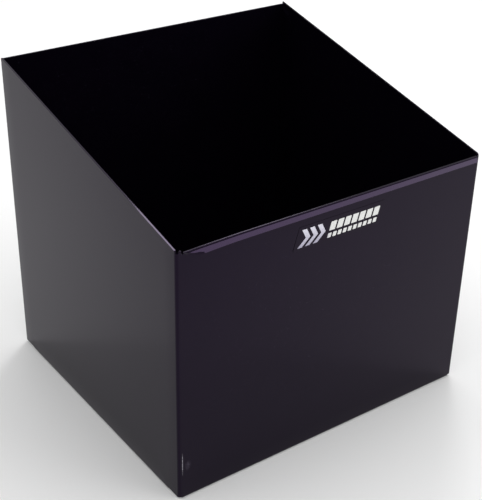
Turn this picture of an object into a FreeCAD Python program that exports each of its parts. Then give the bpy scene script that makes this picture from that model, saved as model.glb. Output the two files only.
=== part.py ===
import FreeCAD, Part
import math
import os

# Slope-sided open bin, folded from one painted sheet, with a floor plate stitch-welded inside.
# Millimetres. +Z up, -Y is the low front with the folded lip, +X is to the right seen from the front.
# The origin is the middle of the footprint at the surface that the bin stands on.

# ---- driving dimensions ----
WIDTH = 305.0
DEPTH = 276.5
FRONT_HEIGHT = 228.5
BACK_HEIGHT = 289.0
SIDE_REAR_HEIGHT = 290.7

SHEET = 1.5
BEND_OUTER = 2.4
BEND_INNER = BEND_OUTER - SHEET

# Front lip: the sheet turned outward and down over the top edge.
LIP_BEND_INNER = 0.3
LIP_TILT = math.radians(22.0)
LIP_LEG = 3.9
LIP_ROOT = 8.0
LIP_LEFT_GAP = 6.0
LIP_RIGHT_GAP = 5.2
LIP_SLANT_RUN = 27.0
LIP_DROOP = 1.1
LIP_DROOP_RUN = 54.0
LIP_FLARE = math.radians(3.0)

# Notches that let the lip and the corners fold.
RELIEF_WIDTH = 1.4
RELIEF_DEPTH = 3.0
CORNER_NOTCH_DEPTH = 2.2
CORNER_NOTCH_START = 0.9
CORNER_NOTCH_END = 3.9

# In-turned bottom flanges and the floor plate that lies on them.
FLANGE = 15.0
FLANGE_END_GAP = 0.7
FLOOR_SHEET = 1.5
FLOOR_CLEARANCE = 1.0
FLOOR_CORNER = 3.0

# Back-right seam: the back wall ends in a flange inside the right wall.
SEAM_GAP = 0.2
SEAM_FLANGE = 14.0
SEAM_TOP_SETBACK = 6.0
SEAM_BOTTOM = 4.0

# Welds.
SEAM_STITCH = 22.0
SEAM_STITCH_HEIGHTS = (14.0, 95.0, 176.0, 256.0)
FLOOR_STITCH = 26.0
FLOOR_STITCH_PITCH = 92.0
FLOOR_STITCHES = 3
WELD_LEG = 3.0

# Label on the front wall: a leaning film with arrowheads and two rows of bars.
LABEL_WIDTH = 88.0
LABEL_HEIGHT = 21.0
LABEL_LEAN = 6.0 / LABEL_HEIGHT
LABEL_FILM = 0.10
LABEL_PRINT = 0.06
LABEL_DROP = 13.0
LABEL_CORNER = 2.0
ARROWS = 3
ARROW_START = 3.6
ARROW_PITCH = 7.6
ARROW_WIDTH = 4.4
ARROW_TIP = 6.0
ARROW_LOW = 3.0
ARROW_HIGH = 18.0
ROW_START = 33.0
ROW_END = 83.5
ROWS = (
    # bars, gap, low edge, high edge
    (7, 1.7, 9.6, 17.0),
    (10, 1.7, 3.6, 7.4),
)
BAR_CORNER = 0.4

# ---- derived places ----
LIP_BEND_OUTER = LIP_BEND_INNER + SHEET
LIP_REACH = (LIP_BEND_INNER + LIP_BEND_OUTER * math.cos(LIP_TILT + LIP_FLARE)
             + LIP_LEG * math.sin(LIP_TILT + LIP_FLARE))
LEFT = -WIDTH / 2
RIGHT = WIDTH / 2
FRONT = -(DEPTH + LIP_REACH) / 2 + LIP_REACH
BACK = FRONT + DEPTH
SIDE_SLOPE = (SIDE_REAR_HEIGHT - FRONT_HEIGHT) / DEPTH
SPARE = 5.0
PARALLEL = 1e-6

X_AXIS = FreeCAD.Vector(1, 0, 0)
Y_AXIS = FreeCAD.Vector(0, 1, 0)
Z_AXIS = FreeCAD.Vector(0, 0, 1)


def box(x0, x1, y0, y1, z0, z1):
    """A block between two opposite corners."""
    return Part.makeBox(x1 - x0, y1 - y0, z1 - z0, FreeCAD.Vector(x0, y0, z0))


def prism(points, direction):
    """A flat outline pushed along a vector."""
    outline = Part.makePolygon(points + [points[0]])
    return Part.Face(outline).extrude(direction)


def edges_along(shape, axis):
    """The straight edges of shape that run along axis."""
    return [edge for edge in shape.Edges if edge.tangentAt(edge.FirstParameter).cross(axis).Length < PARALLEL]


def quarter_bend(centre, axis, start, length):
    """A quarter turn of sheet around axis, from start, a unit vector that points out of the bend."""
    turn = axis.cross(start)
    middle = (start + turn) * math.sqrt(0.5)
    outer = [centre + start * BEND_OUTER, centre + middle * BEND_OUTER, centre + turn * BEND_OUTER]
    inner = [centre + turn * BEND_INNER, centre + middle * BEND_INNER, centre + start * BEND_INNER]
    edges = [
        Part.Arc(*outer).toShape(),
        Part.LineSegment(outer[2], inner[0]).toShape(),
        Part.Arc(*inner).toShape(),
        Part.LineSegment(inner[2], outer[0]).toShape(),
    ]
    return Part.Face(Part.Wire(edges)).extrude(axis * length)


def side_top(y):
    """Height of a side wall's sloping top edge at depth y."""
    return FRONT_HEIGHT + SIDE_SLOPE * (y - FRONT)


def walls():
    """The four upright walls, their three corner bends and the seam flange, before the top is trimmed."""
    top = SIDE_REAR_HEIGHT + SPARE
    low = BEND_OUTER
    height = top - low
    x_in = LEFT + BEND_OUTER
    x_out = RIGHT - BEND_OUTER
    y_in = FRONT + BEND_OUTER
    y_out = BACK - BEND_OUTER
    seam_face = RIGHT - SHEET - SEAM_GAP
    seam_x = seam_face - BEND_OUTER
    left_wall = box(LEFT, LEFT + SHEET, y_in, y_out, low, top)
    front_wall = box(x_in, x_out, FRONT, FRONT + SHEET, low, top)
    right_wall = box(RIGHT - SHEET, RIGHT, y_in, BACK, low, top)
    back_wall = box(x_in, seam_x, BACK - SHEET, BACK, low, top)
    flange_end = y_out - SEAM_FLANGE
    seam_flange = box(seam_face - SHEET, seam_face, flange_end, y_out, SEAM_BOTTOM, top)
    corners = [
        quarter_bend(FreeCAD.Vector(x_in, y_in, low), Z_AXIS, -X_AXIS, height),
        quarter_bend(FreeCAD.Vector(x_out, y_in, low), Z_AXIS, -Y_AXIS, height),
        quarter_bend(FreeCAD.Vector(x_in, y_out, low), Z_AXIS, Y_AXIS, height),
        quarter_bend(FreeCAD.Vector(seam_x, y_out, SEAM_BOTTOM), Z_AXIS, X_AXIS, top - SEAM_BOTTOM),
    ]
    return left_wall.multiFuse([front_wall, right_wall, back_wall, seam_flange] + corners)


def above_side_slope():
    """Everything above the side walls' sloping top edges."""
    y0 = FRONT - SPARE
    y1 = BACK + SPARE
    top = SIDE_REAR_HEIGHT + 2 * SPARE
    corners = [(y0, side_top(y0)), (y1, side_top(y1)), (y1, top), (y0, top)]
    points = [FreeCAD.Vector(LEFT - SPARE, y, z) for y, z in corners]
    return prism(points, X_AXIS * (WIDTH + 2 * SPARE))


def above_back():
    """Everything above the back wall's level top edge, and above the lower seam flange beside it."""
    top = SIDE_REAR_HEIGHT + 2 * SPARE
    seam_slit = RIGHT - SHEET - SEAM_GAP / 2
    wall = box(LEFT - SPARE, seam_slit, BACK - BEND_OUTER, BACK + SPARE, BACK_HEIGHT, top)
    flange_top = side_top(BACK - BEND_OUTER - SEAM_FLANGE) - SEAM_TOP_SETBACK
    flange_left = seam_slit - 2 * SHEET
    flange = box(flange_left, seam_slit, BACK - 2 * SEAM_FLANGE, BACK - BEND_OUTER, flange_top, top)
    return wall.fuse(flange)


def front_notches():
    """Room above the front wall for the lip, with its two relief slots and the two corner notches."""
    lip_left = LEFT + LIP_LEFT_GAP
    lip_right = RIGHT - LIP_RIGHT_GAP
    y0 = FRONT - SPARE
    y1 = FRONT + BEND_OUTER
    high = FRONT_HEIGHT + 2 * SPARE
    lip_room = box(lip_left, lip_right, y0, y1, FRONT_HEIGHT - LIP_ROOT, high)
    left_slot = box(lip_left - RELIEF_WIDTH, lip_left, y0, y1, FRONT_HEIGHT - RELIEF_DEPTH, high)
    right_slot = box(lip_right, lip_right + RELIEF_WIDTH, y0, y1, FRONT_HEIGHT - RELIEF_DEPTH, high)
    front_trim = box(LEFT + BEND_OUTER, RIGHT - BEND_OUTER, y0, y1, FRONT_HEIGHT, high)
    cuts = [left_slot, right_slot, front_trim]
    for corner, inward in ((LEFT, 1), (RIGHT, -1)):
        outline = [
            (corner - inward * SPARE, FRONT_HEIGHT + SPARE),
            (corner + inward * CORNER_NOTCH_START, FRONT_HEIGHT - CORNER_NOTCH_DEPTH),
            (corner + inward * CORNER_NOTCH_END, FRONT_HEIGHT),
            (corner + inward * CORNER_NOTCH_END, FRONT_HEIGHT + SPARE),
        ]
        points = [FreeCAD.Vector(x, y0, z) for x, z in outline]
        cuts.append(prism(points, Y_AXIS * (FRONT + SHEET - y0)))
    return lip_room.multiFuse(cuts)


def lip_outline(x, droop, tilt):
    """The lip's cross-section at x: up the front wall, over the top bend and down the outer leg."""
    base = FRONT_HEIGHT - LIP_ROOT
    centre = FreeCAD.Vector(x, FRONT - LIP_BEND_INNER, FRONT_HEIGHT - droop - LIP_BEND_OUTER)
    end = FreeCAD.Vector(0, -math.cos(tilt), math.sin(tilt))
    middle = FreeCAD.Vector(0, math.sin(tilt / 2), math.cos(tilt / 2))
    leg = FreeCAD.Vector(0, -math.sin(tilt), -math.cos(tilt)) * LIP_LEG
    root_out = FreeCAD.Vector(x, FRONT, base)
    root_in = FreeCAD.Vector(x, FRONT + SHEET, base)
    inner = [centre + Y_AXIS * LIP_BEND_INNER, centre + middle * LIP_BEND_INNER, centre + end * LIP_BEND_INNER]
    outer = [centre + end * LIP_BEND_OUTER, centre + middle * LIP_BEND_OUTER, centre + Y_AXIS * LIP_BEND_OUTER]
    edges = [
        Part.LineSegment(root_out, inner[0]).toShape(),
        Part.Arc(*inner).toShape(),
        Part.LineSegment(inner[2], inner[2] + leg).toShape(),
        Part.LineSegment(inner[2] + leg, outer[0] + leg).toShape(),
        Part.LineSegment(outer[0] + leg, outer[0]).toShape(),
        Part.Arc(*outer).toShape(),
        Part.LineSegment(outer[2], root_in).toShape(),
        Part.LineSegment(root_in, root_out).toShape(),
    ]
    return Part.Wire(edges)


def lip():
    """The front lip: its left stretch sags and flares a little, and its left end is cut on a slant."""
    x0 = LEFT + LIP_LEFT_GAP
    x1 = x0 + LIP_DROOP_RUN
    x2 = RIGHT - LIP_RIGHT_GAP
    end_outline = lip_outline(x0, LIP_DROOP, LIP_TILT + LIP_FLARE)
    straight_outline = lip_outline(x1, 0.0, LIP_TILT)
    sagging = Part.makeLoft([end_outline, straight_outline], True, True)
    straight = Part.Face(straight_outline).extrude(X_AXIS * (x2 - x1))
    high = FRONT_HEIGHT - LIP_DROOP - LIP_BEND_OUTER / 2
    low = FRONT_HEIGHT - LIP_ROOT
    outline = [(x0 - SPARE, high), (x0, high), (x0 + LIP_SLANT_RUN, low), (x0 - SPARE, low)]
    points = [FreeCAD.Vector(x, FRONT - 2 * SPARE, z) for x, z in outline]
    slant = prism(points, Y_AXIS * (2 * SPARE))
    return sagging.fuse(straight).cut(slant)


def bottom_flange(start, along, inward, length):
    """A bottom bend and its flange with 45 degree ends, from start, the low corner of the wall's face."""
    run = start + along * (BEND_OUTER + FLANGE_END_GAP)
    straight = length - 2 * (BEND_OUTER + FLANGE_END_GAP)
    first = -Z_AXIS if along.cross(-inward).z > 0 else -inward
    bend = quarter_bend(run + (inward + Z_AXIS) * BEND_OUTER, along, first, straight)
    width = FLANGE - BEND_OUTER
    near = run + inward * BEND_OUTER
    outline = [
        near,
        near + along * straight,
        near + along * (straight - width) + inward * width,
        near + along * width + inward * width,
    ]
    return bend.fuse(prism(outline, Z_AXIS * SHEET))


def folded_shell():
    """The whole folded sheet."""
    upright = walls().cut(above_side_slope().multiFuse([above_back(), front_notches()]))
    flanges = [
        bottom_flange(FreeCAD.Vector(LEFT, FRONT, 0), X_AXIS, Y_AXIS, WIDTH),
        bottom_flange(FreeCAD.Vector(LEFT, BACK, 0), X_AXIS, -Y_AXIS, WIDTH),
        bottom_flange(FreeCAD.Vector(LEFT, FRONT, 0), Y_AXIS, X_AXIS, DEPTH),
        bottom_flange(FreeCAD.Vector(RIGHT, FRONT, 0), Y_AXIS, -X_AXIS, DEPTH),
    ]
    return upright.multiFuse([lip()] + flanges).removeSplitter()


def floor_plate():
    """The flat bottom with rounded corners, lying on the flanges."""
    inset = SHEET + FLOOR_CLEARANCE
    plate = box(LEFT + inset, RIGHT - inset, FRONT + inset, BACK - inset, SHEET, SHEET + FLOOR_SHEET)
    return plate.makeFillet(FLOOR_CORNER, edges_along(plate, Z_AXIS))


def seam_welds():
    """Stitches that fill the groove between the right wall's rear edge and the back wall's last bend."""
    x0 = RIGHT - SHEET - SEAM_GAP - BEND_OUTER
    y0 = BACK - BEND_OUTER
    beads = []
    for height in SEAM_STITCH_HEIGHTS:
        block = box(x0, RIGHT - SHEET, y0, BACK, height, height + SEAM_STITCH)
        bend = Part.makeCylinder(BEND_OUTER, SEAM_STITCH, FreeCAD.Vector(x0, y0, height), Z_AXIS)
        beads.append(block.cut(bend))
    return Part.makeCompound(beads)


def floor_welds(middle, along, inward):
    """Three fillet stitches in the corner of the floor plate and a wall, centred on middle."""
    floor_top = Z_AXIS * (SHEET + FLOOR_SHEET)
    beads = []
    for index in range(FLOOR_STITCHES):
        offset = (index - (FLOOR_STITCHES - 1) / 2) * FLOOR_STITCH_PITCH - FLOOR_STITCH / 2
        corner = middle + along * offset + floor_top
        outline = [corner, corner + inward * (WELD_LEG + FLOOR_CLEARANCE), corner + Z_AXIS * WELD_LEG]
        beads.append(prism(outline, along * FLOOR_STITCH))
    return Part.makeCompound(beads)


def label_plate(outline, y, depth, corner):
    """A thin plate with rounded corners at depth y, from (x, z) points on the label, which leans right."""
    x0 = -(LABEL_WIDTH + LABEL_LEAN * LABEL_HEIGHT) / 2
    z0 = FRONT_HEIGHT - LABEL_DROP - LABEL_HEIGHT
    points = [FreeCAD.Vector(x0 + x + LABEL_LEAN * z, y, z0 + z) for x, z in outline]
    plate = prism(points, -Y_AXIS * depth)
    return plate.makeFillet(corner, edges_along(plate, Y_AXIS)) if corner else plate


def label_film():
    """The dark film, stuck flat on the front wall under the lip."""
    outline = [(0, 0), (LABEL_WIDTH, 0), (LABEL_WIDTH, LABEL_HEIGHT), (0, LABEL_HEIGHT)]
    return label_plate(outline, FRONT, LABEL_FILM, LABEL_CORNER)


def arrow(start):
    """One arrowhead that points right."""
    middle = (ARROW_LOW + ARROW_HIGH) / 2
    outline = [
        (start, ARROW_LOW),
        (start + ARROW_WIDTH, ARROW_LOW),
        (start + ARROW_WIDTH + ARROW_TIP, middle),
        (start + ARROW_WIDTH, ARROW_HIGH),
        (start, ARROW_HIGH),
        (start + ARROW_TIP, middle),
    ]
    return label_plate(outline, FRONT - LABEL_FILM, LABEL_PRINT, 0)


def bar_row(count, gap, low, high):
    """A row of equal bars."""
    width = (ROW_END - ROW_START - (count - 1) * gap) / count
    bars = []
    for index in range(count):
        left = ROW_START + index * (width + gap)
        outline = [(left, low), (left + width, low), (left + width, high), (left, high)]
        bars.append(label_plate(outline, FRONT - LABEL_FILM, LABEL_PRINT, BAR_CORNER))
    return bars


def label_print():
    """The bright shapes on the film."""
    shapes = [arrow(ARROW_START + index * ARROW_PITCH) for index in range(ARROWS)]
    for row in ROWS:
        shapes += bar_row(*row)
    return Part.makeCompound(shapes)


def build():
    """Every node's name and shape."""
    wall = {
        "front": (FreeCAD.Vector(0, FRONT + SHEET, 0), X_AXIS, Y_AXIS),
        "back": (FreeCAD.Vector(0, BACK - SHEET, 0), X_AXIS, -Y_AXIS),
        "left": (FreeCAD.Vector(LEFT + SHEET, (FRONT + BACK) / 2, 0), Y_AXIS, X_AXIS),
        "right": (FreeCAD.Vector(RIGHT - SHEET, (FRONT + BACK) / 2, 0), Y_AXIS, -X_AXIS),
    }
    nodes = {
        "folded_shell": folded_shell(),
        "floor_plate": floor_plate(),
        "seam_welds": seam_welds(),
        "label_film": label_film(),
        "label_print": label_print(),
    }
    for name, place in wall.items():
        nodes["floor_weld_" + name] = floor_welds(*place)
    return nodes


os.makedirs("parts", exist_ok=True)
for name, shape in build().items():
    shape.exportStep("parts/" + name + ".step")
    size = shape.BoundBox
    print(name, len(shape.Solids), "solids", shape.isValid(), round(shape.Volume), "mm3",
          [round(v, 3) for v in (size.XMin, size.XMax, size.YMin, size.YMax, size.ZMin, size.ZMax)])
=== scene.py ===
import math

import bmesh
import bpy
from mathutils import Matrix, Vector, noise


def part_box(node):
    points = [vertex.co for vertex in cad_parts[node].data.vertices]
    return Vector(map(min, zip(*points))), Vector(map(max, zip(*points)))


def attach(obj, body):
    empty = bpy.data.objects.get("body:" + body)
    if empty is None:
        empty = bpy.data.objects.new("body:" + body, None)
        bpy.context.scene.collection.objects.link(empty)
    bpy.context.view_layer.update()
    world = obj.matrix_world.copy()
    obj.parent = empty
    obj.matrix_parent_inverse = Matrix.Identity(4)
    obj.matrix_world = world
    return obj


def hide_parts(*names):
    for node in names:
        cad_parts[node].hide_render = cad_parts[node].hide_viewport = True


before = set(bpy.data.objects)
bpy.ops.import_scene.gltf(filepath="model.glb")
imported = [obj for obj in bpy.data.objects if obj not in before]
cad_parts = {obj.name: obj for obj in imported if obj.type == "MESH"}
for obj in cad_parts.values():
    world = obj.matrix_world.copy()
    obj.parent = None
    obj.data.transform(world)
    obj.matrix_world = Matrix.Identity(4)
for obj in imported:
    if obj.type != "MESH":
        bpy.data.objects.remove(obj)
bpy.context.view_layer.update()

MM = 0.001

# ---- places read from the CAD nodes ----
shell_low, shell_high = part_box("folded_shell")
# The visual sheet stays this far inside the CAD shell's sides.
HAIR = 0.01 * MM
LEFT = shell_low.x + HAIR
RIGHT = shell_high.x - HAIR
BACK = shell_high.y
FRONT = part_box("label_film")[1].y
SIDE_REAR_HEIGHT = shell_high.z
FLOOR_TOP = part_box("floor_plate")[1].z

# ---- the folded sheet ----
SHEET = 1.5 * MM
BEND = 2.4 * MM
FRONT_HEIGHT = 228.5 * MM
BACK_HEIGHT = 289.0 * MM
SIDE_SLOPE = (SIDE_REAR_HEIGHT - FRONT_HEIGHT) / (BACK - FRONT)
BEND_STEPS = 10
BOTTOM_BEND_STEPS = 8
FLANGE_STEP = 4.0 * MM
SEAM_FLANGE_STEP = 3.5 * MM
# The rear left bend's top climbs to the back wall's within this share of its turn.
REAR_CLIMB = 1 / 3
EDGE_ROUND = 0.32 * MM
EDGE_SEGMENTS = 3

LIP_BEND = 0.3 * MM
LIP_TILT = math.radians(22.0)
LIP_FLARE = math.radians(3.0)
LIP_LEG = 3.85 * MM
LIP_LEFT = LEFT + 6.0 * MM
LIP_RIGHT = RIGHT - 5.2 * MM
LIP_DROOP = 1.1 * MM
LIP_DROOP_RUN = 54.0 * MM
LIP_DROOP_POWER = 1.5
LIP_FOLD_STEPS = 14
LIP_LEG_STEPS = 4
LIP_COLUMN_STEP = 6.0 * MM
LIP_SLANT_RUN = 17.0 * MM
LIP_SLANT_SKEW = 7.0 * MM
LIP_SKEW_RATE = 1.6
LIP_CUT_START = 0.1 * MM
LIP_CUT_DEPTH = 4.4 * MM
RELIEF_WIDTH = 1.4 * MM
RELIEF_DEPTH = 3.0 * MM
# Rows of the walls' mesh below the front's top edge, besides the one at the reliefs' depth.
ROWS_END = 8.0 * MM
LAST_ROW = 5.5 * MM
NOTCH_DEPTH = 2.2 * MM
NOTCH_START = 0.9 * MM
NOTCH_END = 3.9 * MM

FLANGE = 15.0 * MM
FLANGE_END_GAP = 0.7 * MM
SEAM_FACE = RIGHT - SHEET - 0.2 * MM
SEAM_X = SEAM_FACE - BEND
SEAM_FLANGE = 14.0 * MM
SEAM_BOTTOM = 4.0 * MM
SEAM_FLANGE_TOP = 281.0 * MM
SEAM_FLANGE_CHAMFER = 5.0 * MM

# Panels aren't dead flat: they dish inward a little between the bends.
DISH = 0.35 * MM
RIPPLE = 0.10 * MM
RIPPLE_SIZE = 0.11
RIPPLE_HEIGHT = 0.25
RIPPLE_SEED = 3.0
PANEL_STEP = 14.0 * MM
WELD_DISTANCE = 0.002 * MM
TOLERANCE = 0.001 * MM


def steps(a, b, step):
    """Evenly spaced values from a to b, both included, about step apart."""
    count = max(1, round(abs(b - a) / step))
    return [a + (b - a) * i / count for i in range(count + 1)]


def side_top(y):
    """Height of a side wall's sloping top edge."""
    return FRONT_HEIGHT + SIDE_SLOPE * (y - FRONT)


def notch_top(corner_distance):
    """Top edge of the front wall near a corner, where a small V notch frees the bend."""
    if corner_distance >= NOTCH_END:
        return FRONT_HEIGHT
    if corner_distance >= NOTCH_START:
        share = (NOTCH_END - corner_distance) / (NOTCH_END - NOTCH_START)
    else:
        share = corner_distance / NOTCH_START
    return FRONT_HEIGHT - NOTCH_DEPTH * share


class Column:
    """One upright line of the folded sheet: its outer face's place and direction, and how high it goes.

    The mesh's rows are spread from low to level. share is how far across its panel the line lies.
    """

    def __init__(self, x, y, angle, top, low=BEND, panel=None, share=0.0, level=None):
        self.x = x
        self.y = y
        self.normal = Vector((math.cos(angle), math.sin(angle), 0))
        self.top = top
        self.low = low
        self.panel = panel
        self.share = share
        self.level = level if level is not None else top


def arc_columns(cx, cy, start, end, top_of, low_of=lambda t: BEND, level_of=None):
    """Columns round a vertical bend, without its two end columns."""
    columns = []
    for i in range(1, BEND_STEPS):
        t = i / BEND_STEPS
        angle = math.radians(start + (end - start) * t)
        x = cx + BEND * math.cos(angle)
        y = cy + BEND * math.sin(angle)
        level = level_of(x, y, t) if level_of else None
        columns.append(Column(x, y, angle, top_of(x, y, t), low_of(t), level=level))
    return columns


def front_xs():
    """Places of the front wall's columns, from right to left, with a line at every notch and lip end."""
    inner = steps(LIP_RIGHT, LIP_LEFT + LIP_DROOP_RUN, PANEL_STEP)
    inner += steps(LIP_LEFT + LIP_DROOP_RUN, LIP_LEFT, LIP_COLUMN_STEP)[1:]
    right_end = [RIGHT - BEND, LIP_RIGHT + RELIEF_WIDTH]
    left_end = [LIP_LEFT - RELIEF_WIDTH, LEFT + NOTCH_END, LEFT + BEND]
    xs = right_end + inner + left_end
    return sorted(set(round(x, 7) for x in xs), reverse=True)


def wrapper_columns():
    """All columns in order: right wall, front, left, back and the seam flange, with the bends between."""
    columns = []
    for y in steps(BACK, FRONT + BEND, PANEL_STEP):
        share = (BACK - y) / (BACK - FRONT - BEND)
        columns.append(Column(RIGHT, y, 0.0, side_top(y), panel="right", share=share))
    columns += arc_columns(RIGHT - BEND, FRONT + BEND, 0, -90,
                           lambda x, y, t: notch_top(RIGHT - x), level_of=lambda x, y, t: FRONT_HEIGHT)
    for x in front_xs():
        share = (RIGHT - BEND - x) / (RIGHT - LEFT - 2 * BEND)
        top = notch_top(min(x - LEFT, RIGHT - x))
        columns.append(Column(x, FRONT, -math.pi / 2, top, panel="front", share=share, level=FRONT_HEIGHT))
    columns += arc_columns(LEFT + BEND, FRONT + BEND, -90, -180,
                           lambda x, y, t: notch_top(x - LEFT), level_of=lambda x, y, t: FRONT_HEIGHT)
    for y in steps(FRONT + BEND, BACK - BEND, PANEL_STEP):
        share = (y - FRONT - BEND) / (BACK - FRONT - 2 * BEND)
        columns.append(Column(LEFT, y, math.pi, side_top(y), panel="left", share=share))
    rear_top = side_top(BACK - BEND)
    columns += arc_columns(LEFT + BEND, BACK - BEND, 180, 90,
                           lambda x, y, t: rear_top + (BACK_HEIGHT - rear_top) * min(1.0, t / REAR_CLIMB))
    for x in steps(LEFT + BEND, SEAM_X, PANEL_STEP):
        share = (x - LEFT - BEND) / (SEAM_X - LEFT - BEND)
        columns.append(Column(x, BACK, math.pi / 2, BACK_HEIGHT, panel="back", share=share))
    columns += arc_columns(SEAM_X, BACK - BEND, 90, 0, lambda x, y, t: BACK_HEIGHT,
                           low_of=lambda t: BEND + (SEAM_BOTTOM - BEND) * t)
    for y in steps(BACK - BEND, BACK - BEND - SEAM_FLANGE, SEAM_FLANGE_STEP):
        run = min(1.0, (BACK - BEND - y) / SEAM_FLANGE_CHAMFER)
        top = BACK_HEIGHT + (SEAM_FLANGE_TOP - BACK_HEIGHT) * run
        columns.append(Column(SEAM_FACE, y, 0.0, top, low=SEAM_BOTTOM))
    return columns


def dish(column, height_share):
    """How far a panel's face lies inside its true plane, nothing at its edges."""
    if column.panel is None:
        return 0.0
    across = math.sin(math.pi * column.share)
    up = math.sin(math.pi * height_share)
    window = max(0.0, across * up)
    place = Vector((column.x, column.y, height_share * RIPPLE_HEIGHT)) / RIPPLE_SIZE
    wave = noise.noise(place + Vector((RIPPLE_SEED, 0, 0)))
    return window * DISH + math.sqrt(window) * RIPPLE * (0.5 + 0.5 * wave)


class Sheet:
    """A thin folded sheet: points on one side, the points behind them, and quads between them."""

    def __init__(self):
        self.points = []
        self.backs = []
        self.quads = []
        self.seen = {}

    def add(self, point, normal, skew=Vector()):
        """The index of a point of the sheet. Its other side is a thickness behind it, moved by skew."""
        key = tuple(round(c / WELD_DISTANCE) for c in point)
        if key not in self.seen:
            self.seen[key] = len(self.points)
            self.points.append(point)
            self.backs.append(point - normal * SHEET + skew)
        return self.seen[key]

    def grid(self, rows, keep=lambda i, j: True):
        """rows holds rows of point indices. A quad joins each four neighbours that keep() allows."""
        for i in range(len(rows) - 1):
            for j in range(len(rows[i]) - 1):
                if keep(i, j):
                    self.quads.append((rows[i][j], rows[i][j + 1], rows[i + 1][j + 1], rows[i + 1][j]))

    def build(self, name):
        """A closed mesh: one face, the other face behind it and the cut edge all round."""
        mesh = bpy.data.meshes.new(name)
        count = len(self.points)
        faces = [tuple(reversed(q)) for q in self.quads]
        faces += [tuple(k + count for k in q) for q in self.quads]
        directed = set()
        for q in self.quads:
            for a, b in zip(q, q[1:] + q[:1]):
                directed.add((a, b))
        for a, b in sorted(directed):
            if (b, a) not in directed:
                faces.append((a, b, b + count, a + count))
        mesh.from_pydata(self.points + self.backs, [], faces)
        mesh.validate()
        bm = bmesh.new()
        bm.from_mesh(mesh)
        loose = [v for v in bm.verts if not v.link_faces]
        bmesh.ops.delete(bm, geom=loose, context="VERTS")
        bmesh.ops.recalc_face_normals(bm, faces=bm.faces)
        bm.to_mesh(mesh)
        bm.free()
        return mesh


def lip_profile(x):
    """Points and outward normals from the wall up, over the top fold and down the lip's leg, at x."""
    run = min(1.0, max(0.0, (x - LIP_LEFT) / LIP_DROOP_RUN))
    droop = LIP_DROOP * (1 - run) ** LIP_DROOP_POWER
    tilt = LIP_TILT + LIP_FLARE * (1 - run)
    centre_y = FRONT - LIP_BEND
    centre_z = FRONT_HEIGHT - droop - LIP_BEND - SHEET
    profile = []
    turn = math.pi - tilt
    for i in range(LIP_FOLD_STEPS + 1):
        a = turn * i / LIP_FOLD_STEPS
        outward = Vector((0, math.cos(a), math.sin(a)))
        point = Vector((x, centre_y, centre_z)) + outward * LIP_BEND
        profile.append((point, -outward))
    along = Vector((0, -math.sin(tilt), -math.cos(tilt)))
    last, normal = profile[-1]
    for i in range(1, LIP_LEG_STEPS + 1):
        profile.append((last + along * (LIP_LEG * i / LIP_LEG_STEPS), normal))
    return profile


def build_shell():
    """The whole folded sheet as one mesh."""
    sheet = Sheet()
    columns = wrapper_columns()
    heights = steps(BEND, FRONT_HEIGHT - ROWS_END, PANEL_STEP)
    heights += [FRONT_HEIGHT - LAST_ROW, FRONT_HEIGHT - RELIEF_DEPTH]
    shares = [(z - BEND) / (FRONT_HEIGHT - BEND) for z in heights]
    rows = []
    for share in shares:
        row = []
        for c in columns:
            z = c.low + share * (c.level - c.low)
            inward = dish(c, share)
            row.append(sheet.add(Vector((c.x, c.y, z)) - c.normal * inward, c.normal))
        rows.append(row)
    top_row = [sheet.add(Vector((c.x, c.y, c.top)), c.normal) for c in columns]
    rows.append(top_row)
    last = len(rows) - 2

    def keep(i, j):
        """Leaves the front's top strip out between the two reliefs, where the lip is."""
        if i < last:
            return True
        a, b = columns[j], columns[j + 1]
        on_front = a.panel == "front" and b.panel == "front"
        low_x = min(a.x, b.x)
        high_x = max(a.x, b.x)
        before_right = high_x <= LIP_RIGHT + RELIEF_WIDTH + TOLERANCE
        after_left = low_x >= LIP_LEFT - RELIEF_WIDTH - TOLERANCE
        return not (on_front and before_right and after_left)

    sheet.grid(rows, keep)

    # The lip, on the columns between its two ends.
    lip_columns = [j for j, c in enumerate(columns)
                   if c.panel == "front" and LIP_LEFT - TOLERANCE <= c.x <= LIP_RIGHT + TOLERANCE]
    profiles = [lip_profile(columns[j].x) for j in lip_columns]
    lip_rows = [[rows[last][j] for j in lip_columns]]
    for k in range(len(profiles[0])):
        row = []
        for profile in profiles:
            point, normal = profile[k]
            shift, skew = slant_shift(point, normal)
            row.append(sheet.add(point + shift, normal, skew))
        lip_rows.append(row)
    sheet.grid(lip_rows)

    # Bottom bends and flanges under each wall.
    for name, start, along, inward, length in (
        ("right", Vector((RIGHT, BACK, 0)), Vector((0, -1, 0)), Vector((-1, 0, 0)), BACK - FRONT),
        ("front", Vector((RIGHT, FRONT, 0)), Vector((-1, 0, 0)), Vector((0, 1, 0)), RIGHT - LEFT),
        ("left", Vector((LEFT, FRONT, 0)), Vector((0, 1, 0)), Vector((1, 0, 0)), BACK - FRONT),
        ("back", Vector((LEFT, BACK, 0)), Vector((1, 0, 0)), Vector((0, -1, 0)), RIGHT - LEFT),
    ):
        add_bottom(sheet, columns, rows[0], name, start, along, inward, length)
    return sheet.build("folded_shell_sheet")


def slant_shift(point, normal):
    """How far the lip's slanted left end moves a point, and how much further its outer side goes."""
    outer = point - normal * SHEET
    cut_top = FRONT_HEIGHT - LIP_DROOP - LIP_CUT_START
    cut_low = cut_top - LIP_CUT_DEPTH
    along = (point.x - LIP_LEFT) / LIP_DROOP_RUN
    if along >= 1.0 or outer.y > FRONT - LIP_BEND:
        return Vector(), Vector()
    share = min(1.0, max(0.0, (cut_top - outer.z) / (cut_top - cut_low))) * (1 - along)
    skew = LIP_SLANT_SKEW * min(1.0, LIP_SKEW_RATE * share) * (1 - along)
    return Vector((LIP_SLANT_RUN * share - skew, 0, 0)), Vector((skew, 0, 0))


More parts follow.
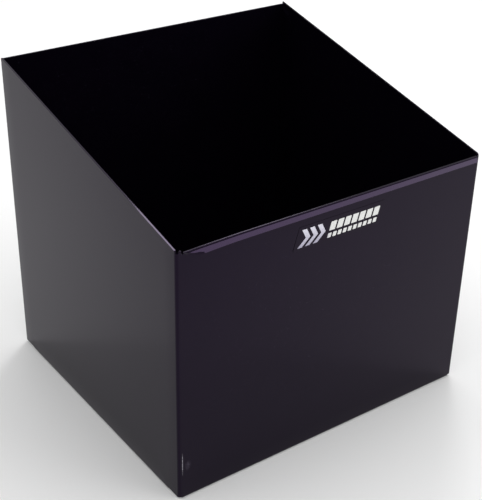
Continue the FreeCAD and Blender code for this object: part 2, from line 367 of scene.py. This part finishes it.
def add_bottom(sheet, columns, lowest, name, start, along, inward, length):
    """The bottom bend and in-turned flange of one wall, with 45 degree ends."""
    gap = BEND + FLANGE_END_GAP
    picks = [j for j, c in enumerate(columns) if c.panel == name]
    places = []
    for j in picks:
        c = columns[j]
        distance = (Vector((c.x, c.y, 0)) - start).dot(along)
        places.append(distance)
    inner = [(j, d) for j, d in zip(picks, places) if gap - TOLERANCE <= d <= length - gap + TOLERANCE]
    rows = [[lowest[j] for j, _ in inner]]
    first = inner[0][1]
    end = inner[-1][1]
    for i in range(1, BOTTOM_BEND_STEPS + 1):
        a = math.pi / 2 * i / BOTTOM_BEND_STEPS
        outward = -inward * math.cos(a) - Vector((0, 0, 1)) * math.sin(a)
        centre = inward * BEND + Vector((0, 0, BEND))
        rows.append([sheet.add(start + along * d + centre + outward * BEND, outward) for _, d in inner])
    down = Vector((0, 0, -1))
    for width in steps(BEND, FLANGE, FLANGE_STEP)[1:]:
        inset = width - BEND
        scale = (end - first - 2 * inset) / (end - first)
        row = []
        for _, d in inner:
            place = first + inset + (d - first) * scale
            row.append(sheet.add(start + along * place + inward * width, down))
        rows.append(row)
    sheet.grid(rows[::-1])


def new_piece(name, mesh):
    """Links a mesh as a smooth-shaded object riding on the one body."""
    piece = bpy.data.objects.new(name, mesh)
    bpy.context.scene.collection.objects.link(piece)
    for polygon in mesh.polygons:
        polygon.use_smooth = True
    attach(piece, "root")
    return piece


def round_edges(piece, width, segments, angle=40.0):
    """Rounds a piece's sharp edges, as paint does."""
    bevel = piece.modifiers.new("rounded_edges", "BEVEL")
    bevel.width = width
    bevel.segments = segments
    bevel.limit_method = "ANGLE"
    bevel.angle_limit = math.radians(angle)
    bevel.harden_normals = True
    bevel.miter_outer = "MITER_ARC"


shell = new_piece("folded_shell_sheet", build_shell())
round_edges(shell, EDGE_ROUND, EDGE_SEGMENTS)
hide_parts("folded_shell")


# ---- welds: rippled stitches in place of the plain CAD fillets ----
SEAM_STITCH = 22.0 * MM
SEAM_STITCH_LOW = 14.0 * MM
SEAM_STITCH_HIGH = 256.0 * MM
SEAM_STITCHES = 4
SEAM_STITCH_PITCH = (SEAM_STITCH_HIGH - SEAM_STITCH_LOW) / (SEAM_STITCHES - 1)
FLOOR_STITCH = 26.0 * MM
FLOOR_STITCH_PITCH = 92.0 * MM
FLOOR_STITCHES = 3
WELD_LEG = 3.0 * MM
WELD_REACH = 4.0 * MM
RIPPLE_PITCH = 1.35 * MM
RIPPLE_LAG = 1.1
RINGS_PER_RIPPLE = 6
RIPPLE_SWELL = 0.07
BEAD_POINTS = 12
BEAD_END = 1.6 * MM
BEAD_WOBBLE = 0.09
BEAD_WOBBLE_SIZE = 3.0 * MM
BEAD_ROOT = 0.2 * MM
FILLET_FLATNESS = 0.14
GROOVE_START = 0.10
GROOVE_REST = 0.90
GROOVE_SAG = 0.22 * MM
GROOVE_LEVEL = 0.05 * MM
GROOVE_RIM = 0.30 * MM
GROOVE_TOP = 0.02 * MM
GROOVE_ROOT_X = 0.72
GROOVE_ROOT_Y = 0.75


def stitch(bm, start, along, length, section, seed):
    """One weld stitch. section(across, swell) is a point of its skin, or its root if across is None."""
    rings = max(2, round(length / RIPPLE_PITCH * RINGS_PER_RIPPLE))
    loops = []
    for i in range(rings + 1):
        distance = length * i / rings
        end = min(distance, length - distance) / BEAD_END
        taper = math.sqrt(max(0.02, 1 - max(0.0, 1 - end) ** 2))
        loop = []
        for k in range(BEAD_POINTS + 1):
            across = k / BEAD_POINTS
            bow = (2 * across - 1) ** 2
            phase = 2 * math.pi * distance / RIPPLE_PITCH + RIPPLE_LAG * bow * math.pi
            wobble = noise.noise(Vector((distance / BEAD_WOBBLE_SIZE, across * 2, seed)))
            swell = (1 + RIPPLE_SWELL * math.sin(phase) * (1 - bow) + BEAD_WOBBLE * wobble) * taper
            loop.append(bm.verts.new(start + along * distance + section(across, swell)))
        loop.append(bm.verts.new(start + along * distance + section(None, taper)))
        loops.append(loop)
    for low, high in zip(loops, loops[1:]):
        for a, b, c, d in zip(low, low[1:] + low[:1], high[1:] + high[:1], high):
            bm.faces.new((a, b, c, d))
    bm.faces.new(loops[0])
    bm.faces.new(loops[-1][::-1])


def weld_piece(name, stitches):
    """A piece made of stitches, standing for the CAD node of the same welds."""
    bm = bmesh.new()
    for seed, values in enumerate(stitches):
        stitch(bm, *values, seed)
    bmesh.ops.recalc_face_normals(bm, faces=bm.faces)
    mesh = bpy.data.meshes.new(name + "_bead")
    bm.to_mesh(mesh)
    bm.free()
    piece = new_piece(name + "_bead", mesh)
    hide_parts(name)
    return piece


def floor_section(inward):
    """A full fillet between the floor plate and a wall."""
    def section(across, swell):
        if across is None:
            return -inward * BEAD_ROOT - Vector((0, 0, BEAD_ROOT))
        angle = math.pi / 2 * across
        reach = inward * math.cos(angle) * WELD_REACH + Vector((0, 0, math.sin(angle) * WELD_LEG))
        flatten = 1 - FILLET_FLATNESS * math.sin(2 * angle)
        return reach * flatten * swell
    return section


def seam_section(across, swell):
    """The filled groove beside the back wall's last bend, from the bend's back to the right wall's edge."""
    width = RIGHT - SHEET - SEAM_X
    if across is None:
        return Vector((GROOVE_ROOT_X * width, -GROOVE_ROOT_Y * BEND, 0))
    low = GROOVE_SAG * (1 - swell) + GROOVE_LEVEL
    depth = low * 2 + GROOVE_RIM * (2 * across - 1) ** 4
    return Vector((width * (GROOVE_START + GROOVE_REST * across), -max(GROOVE_TOP, depth), 0))


UP = Vector((0, 0, 1))
MIDDLE_Y = (FRONT + BACK) / 2
WALLS = {
    "front": (Vector((0, FRONT + SHEET, FLOOR_TOP)), Vector((1, 0, 0)), Vector((0, 1, 0))),
    "back": (Vector((0, BACK - SHEET, FLOOR_TOP)), Vector((1, 0, 0)), Vector((0, -1, 0))),
    "left": (Vector((LEFT + SHEET, MIDDLE_Y, FLOOR_TOP)), Vector((0, 1, 0)), Vector((1, 0, 0))),
    "right": (Vector((RIGHT - SHEET, MIDDLE_Y, FLOOR_TOP)), Vector((0, 1, 0)), Vector((-1, 0, 0))),
}


def seam_stitches():
    """Start, direction, length and section of each seam stitch."""
    heights = [SEAM_STITCH_LOW + i * SEAM_STITCH_PITCH for i in range(SEAM_STITCHES)]
    return [(Vector((SEAM_X, BACK, z)), UP, SEAM_STITCH, seam_section) for z in heights]


def floor_stitches(middle, along, inward):
    """The same for the floor stitches along one wall."""
    first = middle - along * (FLOOR_STITCH_PITCH + FLOOR_STITCH / 2)
    starts = [first + along * FLOOR_STITCH_PITCH * i for i in range(FLOOR_STITCHES)]
    return [(start, along, FLOOR_STITCH, floor_section(inward)) for start in starts]


weld_pieces = [weld_piece("seam_welds", seam_stitches())]
for wall, (middle, along, inward) in WALLS.items():
    weld_pieces.append(weld_piece("floor_weld_" + wall, floor_stitches(middle, along, inward)))


# ---- materials ----
def new_material(name):
    """A new material with its nodes, links, main shader and object coordinates."""
    material = bpy.data.materials.new(name)
    material.use_nodes = True
    tree = material.node_tree
    place = tree.nodes.new("ShaderNodeTexCoord").outputs["Object"]
    return material, tree.nodes, tree.links, tree.nodes["Principled BSDF"], place


def noise_node(nodes, links, vector, scale, detail=2.0):
    """A noise texture's value."""
    node = nodes.new("ShaderNodeTexNoise")
    node.inputs["Scale"].default_value = scale
    node.inputs["Detail"].default_value = detail
    links.new(vector, node.inputs["Vector"])
    return node.outputs["Fac"]


def map_range(nodes, links, value, low, high, start=0.3, end=0.7):
    """value spread from start..end to low..high."""
    node = nodes.new("ShaderNodeMapRange")
    node.inputs["From Min"].default_value = start
    node.inputs["From Max"].default_value = end
    node.inputs["To Min"].default_value = low
    node.inputs["To Max"].default_value = high
    links.new(value, node.inputs["Value"])
    return node.outputs["Result"]


def math_node(nodes, links, operation, *values):
    """The result of one operation on numbers and sockets."""
    node = nodes.new("ShaderNodeMath")
    node.operation = operation
    for socket, value in zip(node.inputs, values):
        if isinstance(value, float):
            socket.default_value = value
        else:
            links.new(value, socket)
    return node.outputs[0]


def mix_colour(nodes, links, factor, first, second):
    """A mix of two colours, each a tuple or a socket."""
    mix = nodes.new("ShaderNodeMix")
    mix.data_type = "RGBA"
    links.new(factor, mix.inputs["Factor"])
    for colour, socket in ((first, mix.inputs["A"]), (second, mix.inputs["B"])):
        if isinstance(colour, tuple):
            socket.default_value = (*colour, 1)
        else:
            links.new(colour, socket)
    return mix.outputs["Result"]


def bump(nodes, links, shader, layers):
    """Bumps on top of each other. layers holds (height, strength, depth)."""
    normal = None
    for height, strength, depth in layers:
        node = nodes.new("ShaderNodeBump")
        node.inputs["Strength"].default_value = strength
        node.inputs["Distance"].default_value = depth
        links.new(height, node.inputs["Height"])
        if normal:
            links.new(normal, node.inputs["Normal"])
        normal = node.outputs["Normal"]
    links.new(normal, shader.inputs["Normal"])


def spot(nodes, links, place, centre, radii):
    """A soft ellipsoid mask, 1 at its centre, in the piece's own space."""
    shifted = nodes.new("ShaderNodeVectorMath")
    shifted.operation = "SUBTRACT"
    links.new(place, shifted.inputs[0])
    shifted.inputs[1].default_value = centre
    scaled = nodes.new("ShaderNodeVectorMath")
    scaled.operation = "DIVIDE"
    links.new(shifted.outputs[0], scaled.inputs[0])
    scaled.inputs[1].default_value = radii
    length = nodes.new("ShaderNodeVectorMath")
    length.operation = "LENGTH"
    links.new(scaled.outputs[0], length.inputs[0])
    return map_range(nodes, links, length.outputs["Value"], low=1.0, high=0.0, start=0.2, end=1.0)


COAT_DARK = (0.0014, 0.0009, 0.0028)
COAT_LIGHT = (0.0026, 0.0015, 0.0044)
COAT_TINT = (0.74, 0.50, 1.0, 1)
COAT_SPECK = (0.012, 0.010, 0.016)
COAT_IOR = 1.27
CLOUD_DEPTH = 0.055
PAINTED_REFLECTION_ROUGHNESS = 0.30
FILM_DARK = (0.0012, 0.0008, 0.0020)
FILM_LIGHT = (0.0040, 0.0030, 0.0055)
ARROWS_LOW = (0.33, 0.31, 0.42)
ARROWS_HIGH = (0.74, 0.73, 0.82)
BARS_SILVER = (0.78, 0.79, 0.76)
BRUSHED_SHADE = (0.50, 0.49, 0.56)
ARROWS_TO_BARS = (-16 * MM, -9 * MM)
ARROWS_LOW_TO_HIGH = (197 * MM, 213 * MM)


def powder_coat(name, gloss, peel_depth, painted_reflections=()):
    """Gloss powder coat, near black and violet: orange peel, clouded gloss, specks, and any painted
    highlights and painted reflections given as lighter spots of colour.
    """
    material, nodes, links, shader, place = new_material(name)
    peel = noise_node(nodes, links, place, scale=560.0, detail=1.5)
    fine = noise_node(nodes, links, place, scale=2600.0, detail=1.0)
    cloud = noise_node(nodes, links, place, scale=13.0, detail=4.0)
    streak = noise_node(nodes, links, place, scale=55.0, detail=5.0)
    roughness = map_range(nodes, links, cloud, low=gloss, high=gloss + CLOUD_DEPTH)
    colour = mix_colour(nodes, links, streak, COAT_DARK, COAT_LIGHT)
    specks = noise_node(nodes, links, place, scale=900.0, detail=0.0)
    speck = map_range(nodes, links, specks, low=0.0, high=1.0, start=0.80, end=0.86)
    colour = mix_colour(nodes, links, speck, colour, COAT_SPECK)
    # Painted highlight and painted reflection spots: lighter colour mixed into the coat where light glints,
    # with a little more roughness.
    for centre, radii, tone in painted_reflections:
        grains = noise_node(nodes, links, place, scale=1500.0, detail=3.0)
        grain = map_range(nodes, links, grains, low=0.0, high=1.0, start=0.42, end=0.62)
        mask = math_node(nodes, links, "MULTIPLY", spot(nodes, links, place, centre, radii), grain)
        colour = mix_colour(nodes, links, mask, colour, tone)
        roughness = math_node(nodes, links, "MULTIPLY_ADD", mask, PAINTED_REFLECTION_ROUGHNESS, roughness)
    links.new(colour, shader.inputs["Base Color"])
    links.new(roughness, shader.inputs["Roughness"])
    bump(nodes, links, shader, ((peel, 0.18, peel_depth), (fine, 0.05, 0.01 * MM)))
    shader.inputs["IOR"].default_value = COAT_IOR
    shader.inputs["Specular Tint"].default_value = COAT_TINT
    return material


def vinyl_film():
    """The label's film: smooth black vinyl, about as glossy as the paint, with a soft haze."""
    material, nodes, links, shader, place = new_material("label_film")
    haze = noise_node(nodes, links, place, scale=60.0, detail=3.0)
    links.new(mix_colour(nodes, links, haze, FILM_DARK, FILM_LIGHT), shader.inputs["Base Color"])
    links.new(map_range(nodes, links, haze, low=0.05, high=0.12), shader.inputs["Roughness"])
    waves = noise_node(nodes, links, place, scale=300.0, detail=1.0)
    bump(nodes, links, shader, ((waves, 0.10, 0.02 * MM),))
    shader.inputs["IOR"].default_value = COAT_IOR
    shader.inputs["Specular Tint"].default_value = COAT_TINT
    return material


def silver_print():
    """Bright foil: bluish silver shading on the arrowheads, near white on the bars, fine brushed lines."""
    material, nodes, links, shader, place = new_material("label_print")
    axes = nodes.new("ShaderNodeSeparateXYZ")
    links.new(place, axes.inputs[0])
    on_bars = map_range(nodes, links, axes.outputs["X"], 0.0, 1.0, *ARROWS_TO_BARS)
    lift = map_range(nodes, links, axes.outputs["Z"], 0.0, 1.0, *ARROWS_LOW_TO_HIGH)
    arrows = mix_colour(nodes, links, lift, ARROWS_LOW, ARROWS_HIGH)
    silver = mix_colour(nodes, links, on_bars, arrows, BARS_SILVER)
    stretch = nodes.new("ShaderNodeMapping")
    stretch.inputs["Scale"].default_value = (0.08, 1.0, 1.0)
    links.new(place, stretch.inputs["Vector"])
    brushed = noise_node(nodes, links, stretch.outputs["Vector"], scale=2400.0, detail=2.0)
    shade = map_range(nodes, links, brushed, low=0.0, high=0.25)
    links.new(mix_colour(nodes, links, shade, silver, BRUSHED_SHADE), shader.inputs["Base Color"])
    links.new(map_range(nodes, links, brushed, low=0.28, high=0.42), shader.inputs["Roughness"])
    bump(nodes, links, shader, ((brushed, 0.10, 0.01 * MM),))
    shader.inputs["Metallic"].default_value = 0.15
    return material


def assign(node, material):
    """Gives one material to a CAD node or a piece."""
    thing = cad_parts[node] if isinstance(node, str) else node
    thing.data.materials.clear()
    thing.data.materials.append(material)


# Centre, radii and tone of two painted marks at the front-left bend: a bright streak that is a painted
# highlight (a glint in the curved bend) and a faint smudge that is a painted reflection of a small dent.
SHELL_PAINTED_REFLECTIONS = (
    ((LEFT + 3.9 * MM, FRONT, 35 * MM), (0.6 * MM, 1.2 * MM, 12 * MM), (0.62, 0.60, 0.66)),
    ((LEFT + 9.0 * MM, FRONT, 32 * MM), (3.2 * MM, 2.0 * MM, 6 * MM), (0.045, 0.040, 0.055)),
)
assign(shell, powder_coat("powder_coat", gloss=0.065, peel_depth=0.030 * MM, painted_reflections=SHELL_PAINTED_REFLECTIONS))
assign("floor_plate", powder_coat("powder_coat_floor", gloss=0.10, peel_depth=0.036 * MM))
weld_coat = powder_coat("coated_weld", gloss=0.14, peel_depth=0.060 * MM)
for piece in weld_pieces:
    assign(piece, weld_coat)
assign("label_film", vinyl_film())
assign("label_print", silver_print())


# ---- stage: a plain pale floor and plain soft light ----
STAGE_HALF = 6.0
FLOOR_PALE = (0.92, 0.92, 0.92, 1)
FLOOR_ROUGHNESS = 0.9
WORLD_STRENGTH = 0.50


def pale_floor():
    """A big plain floor under the bin."""
    half = STAGE_HALF
    mesh = bpy.data.meshes.new("floor")
    corners = [(-half, -half, 0), (half, -half, 0), (half, half, 0), (-half, half, 0)]
    mesh.from_pydata(corners, [], [(0, 1, 2, 3)])
    ground = bpy.data.objects.new("floor", mesh)
    bpy.context.scene.collection.objects.link(ground)
    material, _, _, shader, _ = new_material("pale_floor")
    shader.inputs["Base Color"].default_value = FLOOR_PALE
    shader.inputs["Roughness"].default_value = FLOOR_ROUGHNESS
    mesh.materials.append(material)


def softbox(name, place, aim, width, height, watts):
    """A rectangular area light at place that faces aim."""
    light = bpy.data.lights.new(name, "AREA")
    light.shape = "RECTANGLE"
    light.size = width
    light.size_y = height
    light.energy = watts
    lamp = bpy.data.objects.new(name, light)
    bpy.context.scene.collection.objects.link(lamp)
    lamp.location = place
    lamp.rotation_mode = "QUATERNION"
    lamp.rotation_quaternion = (Vector(aim) - Vector(place)).to_track_quat("-Z", "Y")


pale_floor()
BIN_HEART = (0, 0, 0.2)
FOOT = (0, 0, 0)
# name, place, aim, width, height, watts
softbox("front_right", (1.75, -2.45, 0.65), BIN_HEART, 1.6, 0.9, 24.0)
softbox("upper_right", (1.33, 1.20, 2.20), BIN_HEART, 0.50, 0.70, 11.0)
softbox("ceiling", (0.2, 0.1, 2.4), FOOT, 4.4, 4.4, 60.0)

world = bpy.data.worlds.new("studio")
world.use_nodes = True
background = world.node_tree.nodes["Background"]
background.inputs["Color"].default_value = (1, 1, 1, 1)
background.inputs["Strength"].default_value = WORLD_STRENGTH
bpy.context.scene.world = world

# ---- camera ----
SENSOR = 36.0
LENS = 78.516
AZIMUTH = math.radians(-36.161)
ELEVATION = math.radians(29.286)
ROLL = math.radians(1.191)
DISTANCE = 1052.44 * MM
AIM_SIDE = -4.254 * MM
AIM_DOWN = 103.693 * MM
CLIP_START = 0.01

camera = bpy.data.objects.new("camera", bpy.data.cameras.new("camera"))
bpy.context.scene.collection.objects.link(camera)
level = math.cos(ELEVATION)
back = Vector((math.sin(AZIMUTH) * level, -math.cos(AZIMUTH) * level, math.sin(ELEVATION)))
forward = -back
right = forward.cross(Vector((0, 0, 1))).normalized()
down = forward.cross(right)
place = back * DISTANCE - right * AIM_SIDE - down * AIM_DOWN
right_rolled = right * math.cos(ROLL) - down * math.sin(ROLL)
down_rolled = right * math.sin(ROLL) + down * math.cos(ROLL)
rotation = Matrix((right_rolled, -down_rolled, -forward)).transposed()
camera.matrix_world = Matrix.Translation(place + Vector((0, MIDDLE_Y, 0))) @ rotation.to_4x4()
camera.data.sensor_width = SENSOR
camera.data.lens = LENS
camera.data.clip_start = CLIP_START
bpy.context.scene.camera = camera
bpy.context.scene.view_settings.view_transform = "Standard"
